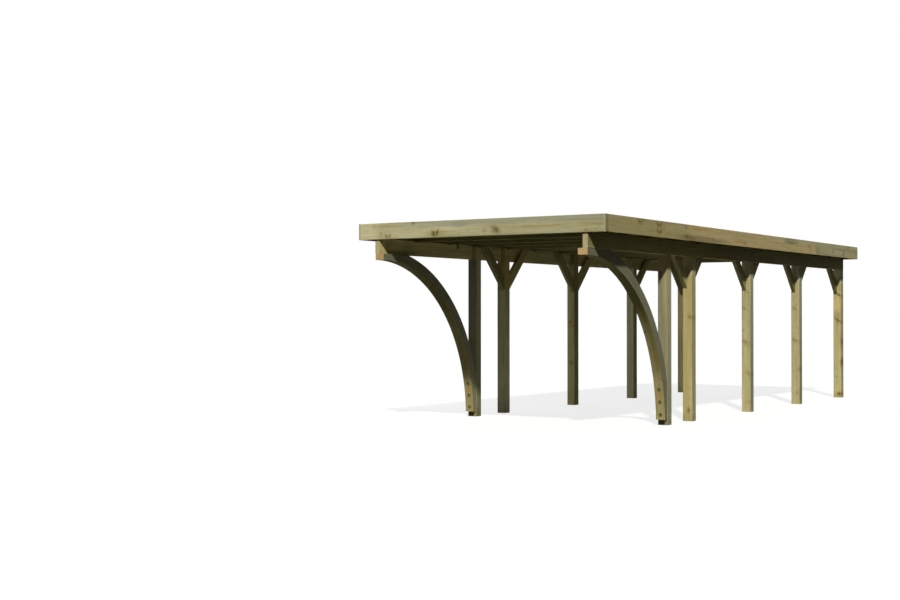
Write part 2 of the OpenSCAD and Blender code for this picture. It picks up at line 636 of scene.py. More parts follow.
    def _rings(self, cut: Cut, halo: Socket) -> Socket:
        """Draws the dark late wood of the growth rings, as circles about a pith that sways.

        Args:
            cut: The piece's coordinates.
            halo: The reach of the knots, which the rings bend around.

        Returns:
            1 in late wood.
        """
        sway = self._noise(cut, Layer.SWAY) - 0.5
        off_wide = cut.wide + sway * self.ring_sway[0] - self.pith[0]
        off_thin = cut.thin + sway * self.ring_sway[1] - self.pith[1]
        reach = (off_wide * off_wide + off_thin * off_thin).math("SQRT")
        turn = (reach / self.ring + halo * self.ring_bend).math("FRACT")
        return turn.step(0.35, 0.9) * turn.step(1.0, 0.93)

    def _checks(self, cut: Cut) -> Socket:
        """Draws a few drying checks: the middle values of noise that is long along the grain.

        Args:
            cut: The piece's coordinates.

        Returns:
            1 in a check.
        """
        split = abs(self._noise(cut, Layer.CHECK) - 0.5)
        area = self._noise(cut, Layer.CHECK_AREA)
        return Layer.CHECK.shown(split) * Layer.CHECK_AREA.shown(area) * self.checks

    def _base(self, cut: Cut, patch: Socket) -> Socket:
        """Lays down the wood's tone: pale and deep streaks, greener patches, a grey bloom, the piece's own
        patches, some of them painted light and shade, and a sapwood edge.

        Args:
            cut: The piece's coordinates.
            patch: Noise that places the greener patches.

        Returns:
            The colour.
        """
        g, t = cut.g, self._tone()
        tone, grey = self._noise(cut, Layer.TONE), self._noise(cut, Layer.GREY)
        colour = g.mix(Layer.TONE.shown(tone), t.deep, t.pale)
        colour = g.mix(Layer.GREEN.shown(patch) * self.green_share, colour, t.green)
        colour = g.mix(Layer.GREY.shown(grey) * self.greyness, colour, t.grey)
        for spot in self.patches:
            a, w = (cut.along - spot.along) / spot.length, (cut.wide - spot.wide) / spot.width
            reach = (a * a + w * w).math("SQRT") + (grey - 0.5) * (2.0 * spot.soft)
            share = reach.step(1.0 + spot.soft, 1.0 - spot.soft) * spot.share
            colour = g.mix(share, colour, scaled(spot.colour, self.shade))
        if self.sap_edge is None:
            return colour
        sap = (self.sap_edge - cut.wide + (grey - 0.5) * self.sap_sway).step(*self.sap_fade)
        return g.mix(sap * cut.along.step(*self.sap_run) * self.sap_share, colour, t.grey)

    def _knots(self, cut: Cut) -> tuple[Socket, Socket]:
        """Draws the knots: scattered ones, and those with a place of their own.

        Args:
            cut: The piece's coordinates.

        Returns:
            How much of a knot's dark heart shows, and how much of the stained grain around it.
        """
        g = cut.g
        scale, shift = tuple(1.0 / cell for cell in self.knot_cell), scaled(self.knot_way, self.seed)
        cells = g.node("ShaderNodeMapping", {}, {"Vector": cut.place, "Scale": scale, "Location": shift})
        found = g.node("ShaderNodeTexVoronoi", {}, {"Vector": cells, "Scale": 1.0}, "Position")
        gap = g.vector("MULTIPLY", g.vector("SUBTRACT", cells, found), self.knot_cell)
        uneven = 0.5 + self._noise(cut, Layer.KNOT_EDGE)
        reach = g.vector("LENGTH", gap, (0.0, 0.0, 0.0), "Value") / self.knot_radius * uneven
        heart, halo = KnotKind.SCATTERED.shown(reach, self.knot_strength)
        for knot in self.knots:
            off = cut.wide - knot.wide
            a = (cut.along - knot.along - off * knot.lean) / (knot.radius * knot.stretch)
            w = off / knot.radius
            reach = (a * a + w * w).math("SQRT") * uneven
            own_heart, own_halo = KnotKind.PLACED.shown(reach, knot.strength)
            heart, halo = heart.math("MAXIMUM", own_heart), halo.math("MAXIMUM", own_halo)
        fleck = Layer.KNOT_FLECK.shown(self._noise(cut, Layer.KNOT_FLECK))
        return heart * (self.knot_least + fleck * (1.0 - self.knot_least)), halo

    def _layers(self, cut: Cut, colour: Socket, side: Socket) -> Socket:
        """Draws the layers that a bent beam is glued from, with a thin dark line between them on its sides.

        Args:
            cut: The beam's coordinates, of which thin is its depth.
            colour: The colour so far.
            side: 1 on the beam's sides.

        Returns:
            The colour with its layers.
        """
        g = cut.g
        layer_tint, glue = (0.78, 0.74, 0.66), (0.45, 0.38, 0.26)
        count = cut.thin / self.bend.layer + 0.5
        line = abs(count.math("FRACT") - 0.5).step(0.470, 0.490)
        pick = g.node("ShaderNodeCombineXYZ", {}, {0: count.math("FLOOR"), 1: self.seed})
        chance = g.node("ShaderNodeTexWhiteNoise", {"noise_dimensions": "3D"}, {"Vector": pick})
        return g.darken(line * side * 0.45, g.darken(chance * 0.30, colour, layer_tint), glue)


@dataclass(frozen=True)
class FeltFinish:
    """Mineral faced roofing felt: coarse dark granules, paler worn patches and faint water marks."""

    dark: Colour = display(58, 60, 62)
    pale: Colour = display(104, 106, 106)
    dust: Colour = display(126, 122, 110)
    grit: float = 420.0
    wear: float = 3.6
    marks: Vec = (1.8, 4.4, 1.0)
    wear_share: float = 0.24
    mark_share: float = 0.16
    roughness: float = 0.82
    shine: float = 0.25

    def material(self, name: str) -> bpy.types.Material:
        """Builds the finish.

        Args:
            name: The material's name.

        Returns:
            The material.
        """
        material, g = new_graph(name)
        spot = g.place()
        grit = g.noise(spot, (self.grit,) * 3, shift=1.0, detail=2.0)
        wear = g.noise(spot, (self.wear,) * 3, shift=5.0, detail=6.0)
        marks = g.noise(spot, self.marks, shift=9.0, detail=4.0)
        colour = g.mix(grit.step(0.40, 0.66), self.dark, self.pale)
        colour = g.mix(wear.step(0.46, 0.80) * self.wear_share, colour, self.dust)
        ring = marks.step(0.54, 0.60) * marks.step(0.70, 0.60)
        colour = g.mix(ring * self.mark_share, colour, self.dust)
        rough = self.roughness + grit * 0.14
        bump = g.bump(grit, strength=0.5, distance=0.0015)
        surface = {"Base Color": colour, "Roughness": rough, "Normal": bump}
        g.surface({**surface, "Specular IOR Level": self.shine})
        return material


@dataclass(frozen=True)
class SteelFinish:
    """Zinc coated steel that has gone dull and a little green outdoors."""

    zinc: Colour = display(112, 111, 54)
    dull: Colour = display(74, 75, 34)
    bloom: float = 160.0
    roughness: float = 0.62
    metallic: float = 0.12
    shine: float = 0.15

    def material(self, name: str) -> bpy.types.Material:
        """Builds the finish.

        Args:
            name: The material's name.

        Returns:
            The material.
        """
        material, g = new_graph(name)
        bloom = g.noise(g.place(), (self.bloom,) * 3, shift=2.0, detail=3.0)
        colour = g.mix(bloom.step(0.40, 0.65), self.dull, self.zinc)
        rough = self.roughness + bloom * 0.2
        metal = {"Metallic": self.metallic, "Specular IOR Level": self.shine}
        g.surface({"Base Color": colour, "Roughness": rough, **metal})
        return material


def grid_faces(rows: int, columns: int) -> np.ndarray:
    """Numbers the quads of a grid whose points are stored row by row, four numbers to a quad."""
    start = (np.arange(rows - 1)[:, None] * columns + np.arange(columns - 1)).ravel()
    return np.stack((start, start + 1, start + columns + 1, start + columns), axis=1)


@dataclass
class Solid:
    """Points and faces of a closed piece, or of many pieces joined in one mesh.

    Faces are arrays of point numbers, one array for each number of corners that is used.
    """

    points: np.ndarray
    faces: tuple[np.ndarray, ...]

    @classmethod
    def revolved(cls, outline: Sequence[Span], sides: int, hexagon: bool = False) -> Solid:
        """Turns an outline about the Z axis.

        The point at step i and turn a is (r[i] k(a) cos a, r[i] k(a) sin a, z[i]). For a round k is 1, and
        for a hexagon k is 1 / cos of the angle from the nearest flat's middle, so that r is half the width
        over flats.

        Args:
            outline: Radius and height pairs from the lower pole to the upper one, both on the axis.
            sides: Points in each ring.
            hexagon: Whether the rings are hexagons.

        Returns:
            The closed solid, with one point at each pole.
        """
        line = np.array(outline, float)
        turn = np.arange(sides) * 2 * np.pi / sides
        flat = np.pi / 3
        k = 1 / np.cos((turn + flat / 2) % flat - flat / 2) if hexagon else np.ones(sides)
        ring = np.stack((k * np.cos(turn), k * np.sin(turn)), axis=1)
        inner = line[1:-1]
        rings = len(inner)
        body = np.empty((rings, sides, 3))
        body[:, :, :2] = inner[:, 0, None, None] * ring
        body[:, :, 2] = inner[:, 1, None]
        poles = np.array(((0.0, 0.0, line[0, 1]), (0.0, 0.0, line[-1, 1])))
        points = np.concatenate((body.reshape(-1, 3), poles))
        a = np.arange(sides)
        b = (a + 1) % sides
        rise = np.arange(rings - 1)[:, None] * sides
        quads = np.stack((a + rise, b + rise, b + rise + sides, a + rise + sides), axis=2).reshape(-1, 4)
        top = (rings - 1) * sides
        low = np.stack((b, a, np.full(sides, rings * sides)), axis=1)
        high = np.stack((a + top, b + top, np.full(sides, rings * sides + 1)), axis=1)
        return cls(points, (quads, np.concatenate((low, high))))

    @classmethod
    def prism(cls, outline: Sequence[Span], length: float) -> Solid:
        """Carries an outline in X and Z along Y.

        The point at step i and end e is (x[i], e length, z[i]), with e 0 or 1.

        Args:
            outline: X and Z pairs, anticlockwise as seen from the front.
            length: The length along Y.

        Returns:
            The closed solid.
        """
        line = np.array(outline, float)
        n = len(line)
        points = np.empty((2, n, 3))
        points[:, :, 0] = line[:, 0]
        points[:, :, 1] = np.array((0.0, length))[:, None]
        points[:, :, 2] = line[:, 1]
        a = np.arange(n)
        b = (a + 1) % n
        walls = np.stack((a, a + n, b + n, b), axis=1)[:, ::-1]
        return cls(points.reshape(-1, 3), (walls, np.stack((a, a[::-1] + n))))

    def placed(self, origins: np.ndarray, axes: np.ndarray | None = None) -> Solid:
        """Copies the solid to many places, with its Z axis turned to a direction at each.

        Args:
            origins: One place per copy.
            axes: One direction per copy, or none to leave the solid unturned.

        Returns:
            All the copies in one solid.
        """
        count = len(origins)
        turned = np.broadcast_to(self.points, (count, *self.points.shape))
        if axes is not None:
            helper = np.where(np.abs(axes[:, 2:]) > 0.9, (1.0, 0.0, 0.0), (0.0, 0.0, 1.0))
            side = np.cross(helper, axes)
            side /= np.linalg.norm(side, axis=1, keepdims=True)
            basis = np.stack((side, np.cross(axes, side), axes), axis=1)
            turned = np.einsum("pi,kij->kpj", self.points, basis)
        points = (turned + origins[:, None]).reshape(-1, 3)
        step = np.arange(count)[:, None, None] * len(self.points)
        return Solid(points, tuple((f + step).reshape(-1, f.shape[1]) for f in self.faces))

    def joined(self, *others: Solid) -> Solid:
        """Puts several solids into one.

        Args:
            others: The solids to add.

        Returns:
            This solid with the others after it.
        """
        parts = (self, *others)
        starts = np.cumsum([0, *(len(p.points) for p in parts)])
        faces = tuple(f + start for p, start in zip(parts, starts) for f in p.faces)
        return Solid(np.concatenate([p.points for p in parts]), faces)

    def piece(self, name: str, material: bpy.types.Material) -> bpy.types.Object:
        """Makes the Blender object and lets it ride on the carport.

        Args:
            name: The piece's name.
            material: Its finish.

        Returns:
            The object.
        """
        mesh = bpy.data.meshes.new(name)
        mesh.from_pydata(self.points.tolist(), [], [row for part in self.faces for row in part.tolist()])
        mesh.update()
        mesh.materials.append(material)
        made = bpy.data.objects.new(name, mesh)
        bpy.context.scene.collection.objects.link(made)
        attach(made, BODY)
        LOG.info("%s: %d faces", name, len(mesh.polygons))
        return made


def middle(node: str) -> Vec:
    """Gives the middle of a CAD node's box."""
    low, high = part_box(node)
    return tuple((low + high) / 2)


def dress_node(node: bpy.types.Object, material: bpy.types.Material) -> None:
    """Puts one material on a CAD node.

    Args:
        node: The node's object.
        material: The finish.
    """
    node.data.materials.clear()
    node.data.materials.append(material)
    LOG.info("%s: dressed", node.name)


@dataclass(frozen=True)
class PostLook:
    """How one post differs from the others: its tones, as in TimberFinish, and the marks that show on it. Its
    shade, tints and side tones are partly its wood and partly painted light and shade for how the post is
    lit.
    """

    shade: float
    greyness: float
    # Side tones, foot and head: partly the greyer side wood, partly painted light and shade for how this
    # post's sides are lit.
    side_tones_and_painted_light: tuple[Colour, Colour]
    side_share: float = 0.9
    # Painted shade: the tone of the post's head where the roof shades it, and the height it starts at.
    painted_head_shade: Colour | None = None
    head_from: float = 0.905
    mottle: float = 0.25
    damp_foot: bool = True
    knots: tuple[Knot, ...] = ()
    patches: tuple[Patch, ...] = ()


def painted_light_head(colour: Colour, share: float = 0.8) -> Patch:
    """Makes painted light at the head of a right post: a paler band over its shaded top."""
    return band(0.87, 0.17, colour, share, 0.25)


# Painted shade: a dark patch low on an arch post's front, in the gap under the arch's foot.
ARCH_FOOT_PAINTED_SHADE = Patch(-1.035, -0.020, 0.050, 0.046, display(58, 50, 32), 0.85, 0.2)

POST_LOOKS: Mapping[str, PostLook] = {
    "left_arch_post": PostLook(
        shade=0.66,
        greyness=0.9,
        side_tones_and_painted_light=(display(112, 112, 88), display(164, 164, 133)),
        painted_head_shade=display(165, 158, 112),
        patches=(band(0.20, 0.90, display(150, 153, 136), 0.7), ARCH_FOOT_PAINTED_SHADE),
    ),
    "right_arch_post": PostLook(
        shade=0.68,
        greyness=0.9,
        side_tones_and_painted_light=(display(147, 148, 127), display(170, 172, 148)),
        painted_head_shade=display(162, 150, 106),
        head_from=0.72,
        patches=(ARCH_FOOT_PAINTED_SHADE,),
    ),
    "left_post_1": PostLook(
        shade=1.20,
        greyness=0.9,
        side_tones_and_painted_light=(display(202, 202, 166), display(166, 166, 135)),
        painted_head_shade=display(160, 149, 96),
        head_from=0.54,
        damp_foot=False,
        patches=(tint(display(152, 154, 132), 0.6),),
    ),
    "left_post_2": PostLook(
        shade=1.08,
        greyness=0.3,
        side_tones_and_painted_light=(display(160, 160, 108), display(112, 112, 74)),
        painted_head_shade=display(138, 128, 88),
        head_from=0.60,
        damp_foot=False,
        knots=(
            Knot(0.112, -0.008, 0.022, 0.8, 0.45, 0.3),
            Knot(0.055, 0.016, 0.020, 0.8, 0.35),
            Knot(-0.460, 0.000, 0.026, 1.0, 0.35),
        ),
        patches=(tint(display(180, 178, 128)), Patch(0.20, 0.048, 0.40, 0.018, display(160, 126, 84), 0.60)),
    ),
    "left_post_3": PostLook(
        shade=1.15,
        greyness=0.9,
        side_tones_and_painted_light=(display(152, 151, 112), display(128, 127, 95)),
        damp_foot=False,
        patches=(tint(display(170, 171, 140)),),
    ),
    "left_post_4": PostLook(
        shade=1.45,
        greyness=0.2,
        side_tones_and_painted_light=(display(180, 174, 135), display(166, 158, 118)),
        side_share=1.0,
        # Painted light: a paler band over the post's shaded upper front.
        patches=(band(0.70, 0.75, display(212, 196, 142), 0.85, 0.35),),
    ),
    "right_post_1": PostLook(
        shade=0.95,
        greyness=0.1,
        side_tones_and_painted_light=(display(156, 157, 129), display(156, 157, 129)),
        side_share=0.55,
        knots=(Knot(0.183, 0.035, 0.026, 0.8, 0.50, -0.3), Knot(-0.929, 0.016, 0.020, 1.2, 0.65)),
        patches=(band(0.50, 0.45, display(178, 164, 112), 0.35), painted_light_head(display(206, 197, 152))),
    ),
    "right_post_2": PostLook(
        shade=0.90,
        greyness=0.65,
        side_tones_and_painted_light=(display(134, 135, 111), display(162, 163, 134)),
        mottle=0.35,
        damp_foot=False,
        knots=(
            Knot(0.298, -0.024, 0.034, 0.5, 0.38, -0.5),
            Knot(-0.145, -0.017, 0.044, 0.5, 0.42, -0.5),
            Knot(-0.562, 0.034, 0.026, 0.8, 0.34, -0.4),
            Knot(-0.922, 0.025, 0.022, 0.8, 0.34, -0.4),
        ),
        patches=(tint(display(172, 169, 130)), painted_light_head(display(212, 208, 172))),
    ),
    "right_post_3": PostLook(
        shade=0.93,
        greyness=0.5,
        side_tones_and_painted_light=(display(131, 132, 108), display(154, 155, 128)),
        mottle=0.45,
        damp_foot=False,
        knots=(
            Knot(0.306, -0.019, 0.034, 0.5, 0.38, -0.5),
            Knot(-0.149, -0.010, 0.044, 0.5, 0.42, -0.5),
            Knot(-0.566, 0.053, 0.024, 0.8, 0.34, -0.4),
            Knot(-0.901, 0.034, 0.020, 0.8, 0.30, -0.4),
        ),
        patches=(tint(display(176, 171, 134)), painted_light_head(display(206, 202, 168))),
    ),
    "right_post_4": PostLook(
        shade=1.03,
        greyness=0.1,
        side_tones_and_painted_light=(display(158, 159, 131), display(137, 138, 113)),
        side_share=0.55,
        mottle=0.45,
        knots=(
            Knot(0.520, 0.026, 0.030, 0.5, 0.95, -0.6),
            Knot(0.126, 0.015, 0.042, 0.45, 0.75, -0.6),
            Knot(-0.200, 0.062, 0.014, 5.0, 0.50),
            Knot(-0.520, 0.062, 0.013, 4.0, 0.80),
            Knot(-1.001, 0.030, 0.024, strength=0.85),
        ),
        patches=(
            Patch(0.21, 0.0, 0.05, 0.09, display(150, 142, 96), 0.6),
            Patch(0.38, 0.0, 0.12, 0.09, display(200, 180, 118)),
            painted_light_head(display(228, 224, 182), 0.85),
        ),
    ),
}

# Painted light and shade: knee braces made lighter or darker for how each is lit.
KNEE_PAINTED_LIGHT = {
    "left_knee_1_front": 0.80,
    "left_knee_1_rear": 1.70,
    "left_knee_2_rear": 1.70,
    "right_knee_1_front": 1.50,
    "right_knee_1_rear": 1.85,
    "right_knee_2_rear": 1.80,
    "right_knee_3_rear": 1.60,
}

# Painted light and shade: each purlin made lighter or darker for how its faces are lit.
PURLIN_PAINTED_LIGHT = {"left": 1.74, "right": 1.12}
# The two bands are painted light on the front parts of the purlins; the tint is the left purlin's tone and
# the small dark patch a knot.
PURLIN_PATCHES = {
    "left": (
        tint(display(139, 132, 98)),
        band(-4.15, 0.35, display(170, 160, 113), 0.70, 0.20),
        Patch(-2.63, 0.062, 0.030, 0.040, display(70, 60, 34), 0.80),
    ),
    "right": (band(-2.70, 1.50, display(166, 158, 108), 0.70, 0.30),),
}

FRONT_BOARD_KNOTS = (
    Knot(-1.358, -0.058, 0.022, strength=0.25),
    Knot(-1.186, 0.060, 0.022, 0.5, 0.72, 0.3),
    Knot(-1.140, 0.058, 0.018, 0.6, 0.62),
    Knot(-0.821, -0.082, 0.017, strength=0.70),
    Knot(-0.546, 0.048, 0.028, 0.6, 1.0, 0.3),
    Knot(-0.500, 0.042, 0.026, 0.6, 0.95, -0.3),
    Knot(0.114, 0.038, 0.018, strength=0.30),
    Knot(0.262, 0.034, 0.034, 0.8, 0.65, 0.5),
    Knot(1.344, 0.072, 0.016, strength=0.30),
)
FRONT_BOARD_PATCHES = (
    Patch(1.42, 0.020, 0.15, 0.090, display(150, 142, 100), 0.55),
    band(-1.46, 0.14, display(196, 191, 156), 0.60),
    Patch(-0.85, 0.060, 0.22, 0.030, display(190, 186, 152)),
    Patch(-0.20, -0.044, 0.11, 0.026, display(118, 124, 116), 0.85),
    Patch(0.25, 0.036, 0.06, 0.036, display(140, 130, 94), 0.65),
    Patch(-0.50, 0.044, 0.12, 0.030, display(150, 140, 100)),
)
RIGHT_BOARD_KNOTS = (
    *v_knot(-3.469, 0.056, 0.65),
    *v_knot(-2.984, 0.046, 0.72),
    *v_knot(-2.985, -0.030, 0.72),
    Knot(-2.228, -0.042, 0.022, 4.0, 0.45),
    Knot(-2.256, 0.055, 0.014, 3.0, 0.40),
    Knot(-0.399, -0.052, 0.014, 3.0, 0.35),
    Knot(2.029, 0.015, 0.014, 3.0, 0.45),
    Knot(3.113, -0.017, 0.034, 0.7, 0.60),
    Knot(3.608, -0.040, 0.034, 0.7, 0.75),
    Knot(3.820, 0.063, 0.016, 3.0, 0.40),
)
RIGHT_BOARD_PATCHES = (
    band(-3.20, 1.30, display(166, 155, 108), 0.70, 0.20),
    band(1.15, 1.19, display(188, 171, 126), 0.75, 0.012),
    band(-1.05, 1.15, display(187, 170, 124), 0.75, 0.10),
    Patch(-1.75, -0.062, 0.75, 0.036, display(130, 119, 86), 0.70),
    band(-4.30, 0.07, display(122, 122, 88), 0.70, 0.30),
    Patch(-1.76, 0.052, 0.24, 0.018, display(172, 134, 74), 0.55),
    Patch(-0.60, -0.040, 0.22, 0.016, display(172, 134, 74), 0.55),
    Patch(1.30, 0.056, 0.26, 0.036, display(98, 101, 66), 0.85),
    Patch(2.42, -0.030, 0.11, 0.070, display(138, 130, 94)),
    Patch(-2.10, -0.070, 0.16, 0.030, display(128, 112, 74)),
    Patch(2.60, 0.064, 1.90, 0.034, display(172, 171, 142), 0.60),
)


@dataclass
class TimberFrame:
    """Posts, purlins, knee braces, edge boards and rafters: CAD nodes, each with its own cut of timber."""

    nodes: Mapping[str, bpy.types.Object]
    post_pith: tuple[float, float] = (0.004, -0.010)
    post_knots: float = 0.35
    purlin_greyness: float = 0.1
    board_checks: float = 0.25
    front_sap: float = -0.016
    rear_sap: float = -0.030
    right_mottle: float = 0.40
    seed_step: float = 3.7
    count: int = field(default=0, init=False)

    def dress(self) -> None:
        """Gives every straight timber its finish."""
        for side in SIDES:
            for post in POSTS:
                self._post(f"{side}_{post}")
            tones = {"shade": PURLIN_PAINTED_LIGHT[side], "greyness": self.purlin_greyness}
            self._cut(f"{side}_purlin", Batch.BEAM, Grain.BACK, patches=PURLIN_PATCHES[side], **tones)
            for knee in KNEES:
                grain = Grain.RISING_BACK if knee.endswith("rear") else Grain.RISING_FRONT
                node = f"{side}_knee_{knee}"
                self._cut(node, Batch.BEAM, grain, shade=KNEE_PAINTED_LIGHT.get(node, 1.0))
        edge = {"batch": Batch.EDGE_BOARD, "checks": self.board_checks}
        front = {"knots": FRONT_BOARD_KNOTS, "patches": FRONT_BOARD_PATCHES}
        self._cut("front_board", grain=Grain.ACROSS, sap_edge=self.front_sap, **front, **edge)
        self._cut("rear_board", grain=Grain.ACROSS, sap_edge=self.rear_sap, **edge)
        self._cut("left_board", grain=Grain.BACK, **edge)
        right = {"knots": RIGHT_BOARD_KNOTS, "patches": RIGHT_BOARD_PATCHES}
        self._cut("right_board", grain=Grain.BACK, mottle=self.right_mottle, **right, **edge)
        self._cut("rafters", Batch.ROOF, Grain.ACROSS)

    def _post(self, node: str) -> None:
        """Gives a post its finish: boxed heart, with its own marks and tones, the tones partly painted light
        and shade.
        """
        look = vars(POST_LOOKS[node])
        self._cut(node, Batch.POST, Grain.UP, pith=self.post_pith, knot_strength=self.post_knots, **look)

    def _cut(self, node: str, batch: Batch, grain: Grain, **more: object) -> None:
        """Gives one node a finish whose pattern is its own.

        Args:
            node: The CAD node's name.
            batch: The batch of timber.
            grain: The way its grain runs.
            more: Other values of the finish.
        """
        self.count += 1
        finish = TimberFinish(batch, grain, middle(node), seed=self.count * self.seed_step, **more)
        dress_node(self.nodes[node], finish.material(f"{node}_pine"))


# The first band is painted shade: the upper arch darker and greener where the roof shades it; the others are
# tones and stains of the wood.
ARCH_PATCHES = (
    band(0.55, 1.15, display(91, 90, 46), 0.90, 0.25),
    band(2.90, 0.45, display(147, 139, 98), 0.85, 0.20),
    Patch(2.73, 0.006, 0.050, 0.044, display(150, 126, 72), 0.55),
    Patch(2.24, 0.020, 0.090, 0.030, display(140, 104, 62), 0.45),
)


@dataclass
class Arches:
    """The two bent beams at the entry, with the sunk bolts that hold them."""

    nodes: Mapping[str, bpy.types.Object]
    steel: bpy.types.Material
    hollow_radius: float = 1.895
    depth: float = 0.120
    toe: float = 0.060
    top: float = 0.070
    foot_bolts: tuple[float, ...] = (0.055, 0.200, 0.345)
    top_bolts: tuple[float, ...] = (0.050, 0.265)
    recess: float = 0.014
    washer_radius: float = 0.0203
    washer: float = 0.0050
    head_flat: float = 0.0115
    head: float = 0.0070
    head_bevel: float = 0.0015
    head_crown: float = 0.0004
    # Painted shade: a dark olive disc in and around each bolt recess, with its half size, colours and soft
    # edge.
    recess_shade_half: tuple[float, float] = (0.0235, 0.0230)
    foot_recess_shade: tuple[Colour, float] = (display(104, 102, 48), 0.90)
    top_recess_shade: tuple[Colour, float] = (display(80, 78, 38), 0.80)
    recess_shade_soft: float = 0.10
    first_seed: float = 80.0
    seed_step: float = 9.1

    def dress(self) -> None:
        """Gives both arches their finish and their bolts."""
        spots: list[Vec] = []
        axes: list[Vec] = []
        radius = self.hollow_radius + self.depth / 2
        for number, side in enumerate(SIDES):
            node = f"{side}_arch"
            low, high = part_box(node)
            x = (low.x + high.x) / 2
            y = high.y - self.toe - self.hollow_radius
            z = high.z - self.top - self.hollow_radius
            feet = [low.z + rise for rise in self.foot_bolts]
            tops = [low.y + back for back in self.top_bolts]
            foot_turns = [math.acos((up - z) / self.hollow_radius) for up in feet]
            top_turns = [math.asin((along - y) / self.hollow_radius) for along in tops]
            recess_shades = [self._recess_shade(turn * radius, *self.foot_recess_shade) for turn in foot_turns]
            recess_shades += [self._recess_shade(turn * radius, *self.top_recess_shade) for turn in top_turns]
            finish = TimberFinish(
                Batch.ARCH,
                Grain.UP,
                middle(node),
                seed=self.first_seed + number * self.seed_step,
                greyness=0.25,
                side_share=1.0,
                patches=(*ARCH_PATCHES, *recess_shades),
                bend=Bend(y, z, radius),
                pith=(0.05, -0.09),
            )
            dress_node(self.nodes[node], finish.material(f"{node}_pine"))
            spots += [(x, y + self._hollow(up - z) + self.recess, up) for up in feet]
            spots += [(x, along, z + self._hollow(max(along - y, 0.0)) + self.recess) for along in tops]
            axes += [(0.0, -1.0, 0.0)] * len(feet) + [(0.0, 0.0, -1.0)] * len(tops)
        self._bolt().placed(np.array(spots), np.array(axes)).piece("arch_bolts", self.steel)

    def _hollow(self, offset: float) -> float:
        """Gives the distance of the hollow face from the centre, at an offset along the other axis."""
        return math.sqrt(self.hollow_radius**2 - offset**2)

    def _recess_shade(self, along: float, colour: Colour, share: float) -> Patch:
        """Makes the painted shade in and around a bolt recess, at a length along the arc."""
        return Patch(along, 0.0, *self.recess_shade_half, colour, share, self.recess_shade_soft)

    def _bolt(self) -> Solid:
        """Makes a washer with a hexagon head on it: two turned outlines, standing on their seat.

        Returns:
            The bolt's end, along Z.
        """
        r, t = self.washer_radius, self.washer
        washer = Solid.revolved([(0, 0), (r, 0), (r, t * 0.7), (r - t * 0.4, t), (0, t)], 32)
        f, top = self.head_flat, t + self.head
        bevel, crown = top - self.head_bevel, top + self.head_crown
        outline = [(0, t), (f, t), (f, bevel), (f * 0.86, top), (f * 0.5, crown), (0, crown)]
        return washer.joined(Solid.revolved(outline, 24, hexagon=True))


